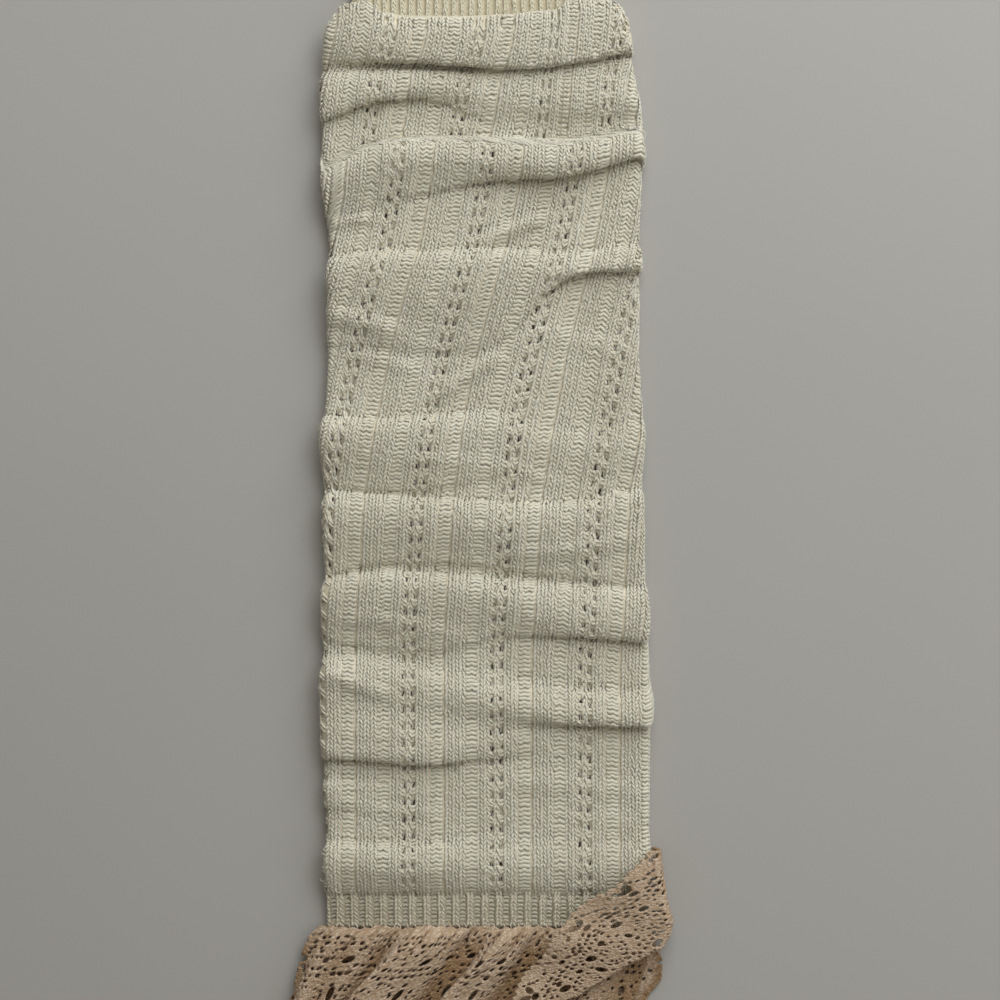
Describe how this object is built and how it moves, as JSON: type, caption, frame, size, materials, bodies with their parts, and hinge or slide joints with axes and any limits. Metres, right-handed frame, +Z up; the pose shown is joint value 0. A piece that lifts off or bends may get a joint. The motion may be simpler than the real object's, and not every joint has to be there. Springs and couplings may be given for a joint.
{
  "type": "leg warmer",
  "caption": "Cream knitted leg warmer with a ribbed top cuff, eyelet columns, bunched folds and a gathered cotton lace frill, lying flat",
  "frame": {"origin": "middle of the whole garment's footprint, on the surface that it lies on", "axes": "+Y from the lace hem to the top cuff, +X to the right across the front panel, +Z up out of the front panel"},
  "size_m": [0.1494, 0.42, 0.0131],
  "materials": {
    "knit": "soft slightly shiny acrylic yarn in an openwork rib knit",
    "cuff_rib": "elastic one by one rib knit in cream acrylic yarn",
    "lace": "matte beige cotton bobbin style lace",
    "thread": "matte sewing thread"
  },
  "bodies": {
    "root": {"knit_leg": "knit", "top_cuff": "cuff_rib", "hem_rib": "knit", "lace_front": "lace", "lace_back": "lace", "lace_turned_corner": "lace"}
  },
  "joints": []
}
